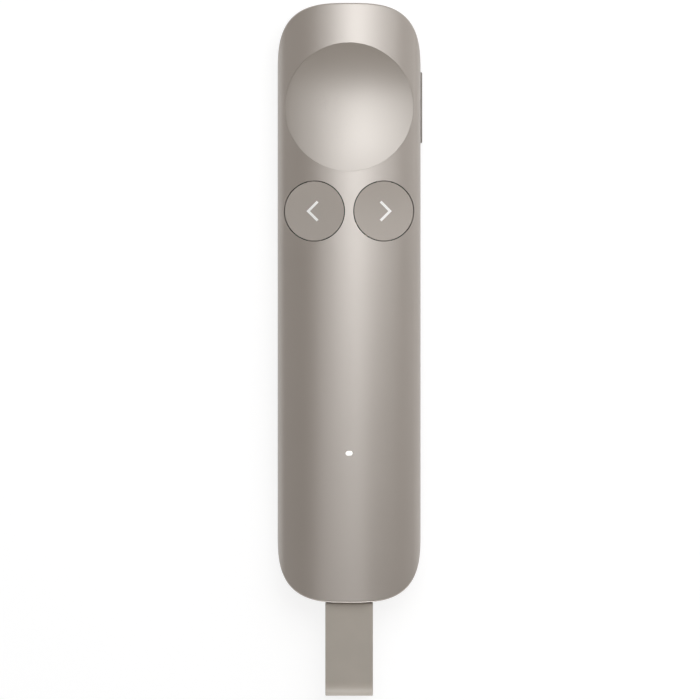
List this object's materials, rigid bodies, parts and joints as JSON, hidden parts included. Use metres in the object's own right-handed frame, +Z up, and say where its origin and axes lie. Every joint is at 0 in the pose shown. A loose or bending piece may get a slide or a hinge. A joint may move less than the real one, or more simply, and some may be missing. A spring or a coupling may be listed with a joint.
{
  "type": "wireless presentation clicker",
  "caption": "Slim hand-held presentation remote with a dished thumb key, round back and next keys, a side key and a plug-in radio receiver on a pull loop.",
  "frame": {"origin": "middle of the flat back that the remote rests on", "axes": "+Y along the remote towards its nose, +Z up through the key face, +X to the side key's side"},
  "size_m": [0.0314, 0.1501, 0.013],
  "materials": {
    "painted_shell": "satin metallic paint, warm light grey",
    "painted_cover": "satin paint, warm grey",
    "key_plastic": "fine matte paint, warm grey",
    "side_key_plastic": "fine matte, darker warm grey",
    "arrow_white": "smooth moulded white",
    "smoked_window": "smoked polished window",
    "light_diffuser": "milky light pipe",
    "clear_lens": "polished",
    "frame_plastic": "black moulded, fine texture",
    "screw_steel": "plain machined",
    "board_laminate": "green solder mask",
    "switch_plastic": "black moulded",
    "plunger_plastic": "natural nylon",
    "led_emitter": "clear resin over the emitter",
    "chip_resin": "black moulded resin",
    "tinned_steel": "tinned sheet",
    "antenna_ceramic": "white ceramic",
    "connector_plastic": "off-white nylon",
    "cell_foil": "satin pouch foil",
    "foam_pad": "closed foam",
    "lead_sheath": "smooth sheath",
    "motor_steel": "plain drawn cup",
    "barrel_brass": "turned",
    "receiver_plastic": "dark grey moulded",
    "loop_rubber": "soft matte, warm grey"
  },
  "bodies": {
    "housing": {"front_shell": "painted_shell", "rear_cover": "painted_cover", "nose_window": "smoked_window", "light_pipe": "light_diffuser", "laser_lens": "clear_lens", "mid_frame": "frame_plastic", "receiver_sleeve": "frame_plastic", "frame_screws": "screw_steel", "board_screws": "screw_steel", "main_board": "board_laminate", "thumb_switch": "switch_plastic", "back_switch": "switch_plastic", "next_switch": "switch_plastic", "side_switch": "switch_plastic", "status_led": "led_emitter", "processor": "chip_resin", "motion_sensor": "chip_resin", "radio_shield": "tinned_steel", "charging_socket": "tinned_steel", "chip_antenna": "antenna_ceramic", "battery_connector": "connector_plastic", "battery": "cell_foil", "battery_pad": "foam_pad", "battery_leads": "lead_sheath", "vibration_motor": "motor_steel", "laser_barrel": "barrel_brass", "laser_diode": "barrel_brass"},
    "thumb": {"thumb_key": "painted_shell", "thumb_plunger": "plunger_plastic"},
    "back": {"back_key": "key_plastic", "back_arrow": "arrow_white", "back_plunger": "plunger_plastic"},
    "next": {"next_key": "key_plastic", "next_arrow": "arrow_white", "next_plunger": "plunger_plastic"},
    "side": {"side_key": "side_key_plastic", "side_plunger": "plunger_plastic"},
    "receiver": {"receiver_case": "receiver_plastic", "receiver_collar": "receiver_plastic", "receiver_plug": "tinned_steel", "receiver_contacts": "chip_resin", "receiver_board": "board_laminate", "receiver_chip": "chip_resin", "pull_loop": "loop_rubber"}
  },
  "joints": [
    {"name": "thumb_press", "type": "slide", "parent": "housing", "child": "thumb", "axis": [0, 0, -1], "range_m": [0, 0.0005], "stiffness_N_per_m": 1500, "springref_m": -0.0004},
    {"name": "back_press", "type": "slide", "parent": "housing", "child": "back", "axis": [0, 0, -1], "range_m": [0, 0.0004], "stiffness_N_per_m": 1500, "springref_m": -0.0004},
    {"name": "next_press", "type": "slide", "parent": "housing", "child": "next", "axis": [0, 0, -1], "range_m": [0, 0.0004], "stiffness_N_per_m": 1500, "springref_m": -0.0004},
    {"name": "side_press", "type": "slide", "parent": "housing", "child": "side", "axis": [-1, 0, 0], "range_m": [0, 0.00035], "stiffness_N_per_m": 1500, "springref_m": -0.0004},
    {"name": "receiver_draw", "type": "slide", "parent": "housing", "child": "receiver", "axis": [0, -1, 0], "range_m": [0, 0.024]}
  ]
}
